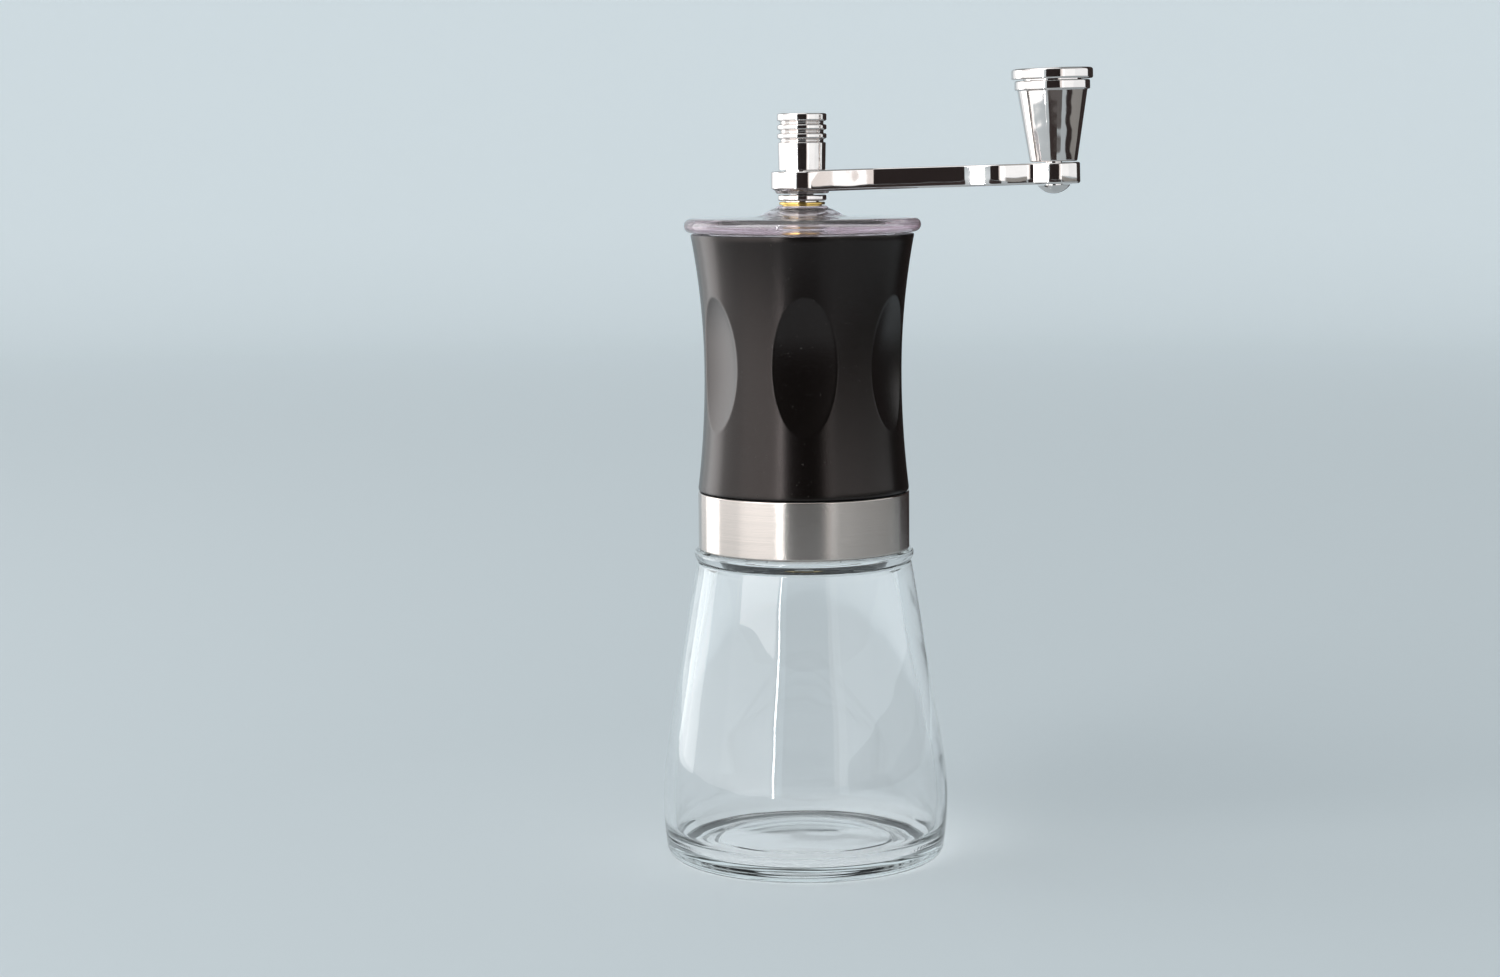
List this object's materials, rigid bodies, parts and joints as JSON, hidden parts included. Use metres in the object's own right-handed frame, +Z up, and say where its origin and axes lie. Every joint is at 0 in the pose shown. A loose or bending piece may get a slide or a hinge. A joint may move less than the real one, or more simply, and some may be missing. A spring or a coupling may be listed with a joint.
{
  "type": "hand crank coffee grinder",
  "caption": "Hand coffee grinder: flared glass jar under a steel band, waisted black body with thumb dimples, clear lid, and a chrome crank arm with a cone knob.",
  "frame": {"origin": "middle of the jar's flat underside, on the shaft's line", "axes": "+Z up along the drive shaft, +X along the crank arm from the shaft to the knob, -Y towards whoever sees the knob on their right"},
  "size_m": [0.1139, 0.076, 0.2078],
  "materials": {
    "clear_glass": "clear, polished, faint green in the thick edges",
    "clear_plastic": "clear moulded acrylic, pinkish at the rim",
    "silicone": "translucent white, matte",
    "body_plastic": "satin black moulding",
    "inner_plastic": "plain black moulding",
    "brushed_band": "brushed round the band",
    "plain_steel": "plain machined",
    "chrome": "polished",
    "brass": "turned",
    "ceramic": "white ceramic, opaque, semi-matte"
  },
  "bodies": {
    "jar": {"glass_jar": "clear_glass"},
    "seal": {"jar_gasket": "silicone"},
    "housing": {"jar_coupling": "inner_plastic", "steel_band": "brushed_band", "body_shell": "body_plastic", "hopper": "inner_plastic", "upper_bridge": "inner_plastic", "upper_bush": "brass", "lower_bridge": "inner_plastic", "lower_bush": "brass", "outer_burr": "ceramic", "burr_retainer": "inner_plastic"},
    "shaft": {"drive_shaft": "plain_steel", "shaft_clip": "plain_steel", "preload_spring": "plain_steel"},
    "burr": {"inner_burr": "ceramic", "burr_carrier": "inner_plastic", "spring_washer": "plain_steel", "click_plate": "plain_steel"},
    "adjuster": {"adjusting_wheel": "inner_plastic", "wheel_nut": "brass"},
    "lid": {"lid": "clear_plastic", "lid_bush": "brass"},
    "crank": {"crank_collar": "chrome", "crank_arm": "chrome", "crank_socket": "chrome", "knob_pin": "chrome"},
    "knob": {"knob": "chrome", "knob_cap": "chrome"}
  },
  "joints": [
    {"name": "jar_rise", "type": "slide", "parent": "jar", "child": "seal", "axis": [0, 0, 1], "range_m": [0, 0.0042]},
    {"name": "jar_twist", "type": "hinge", "parent": "seal", "child": "housing", "pos_m": [0, 0, 0.088], "axis": [0, 0, 1], "range_deg": [0, 360]},
    {"name": "crank_turn", "type": "hinge", "parent": "housing", "child": "shaft", "pos_m": [0, 0, 0.145], "axis": [0, 0, 1], "continuous": true},
    {"name": "burr_gap", "type": "slide", "parent": "shaft", "child": "burr", "axis": [0, 0, 1], "range_m": [-0.0012, 0.0002], "deforming": ["preload_spring"]},
    {"name": "adjust_turn", "type": "hinge", "parent": "burr", "child": "adjuster", "pos_m": [0, 0, 0.089], "axis": [0, 0, 1], "range_deg": [-540, 90]},
    {"name": "lid_lift", "type": "slide", "parent": "housing", "child": "lid", "axis": [0, 0, 1], "range_m": [0, 0.04]},
    {"name": "crank_lift", "type": "slide", "parent": "shaft", "child": "crank", "axis": [0, 0, 1], "range_m": [0, 0.04]},
    {"name": "knob_spin", "type": "hinge", "parent": "crank", "child": "knob", "pos_m": [0.06578, 0, 0.18045], "axis": [-0.0228, 0, 0.9997], "continuous": true}
  ],
  "couplings": [
    {"joint": "jar_rise", "follows": "jar_twist", "m_per_rad": 0.00066845},
    {"joint": "adjust_turn", "follows": "burr_gap", "rad_per_m": 7854},
    {"joint": "lid_lift", "follows": "crank_lift", "ratio": 1}
  ]
}
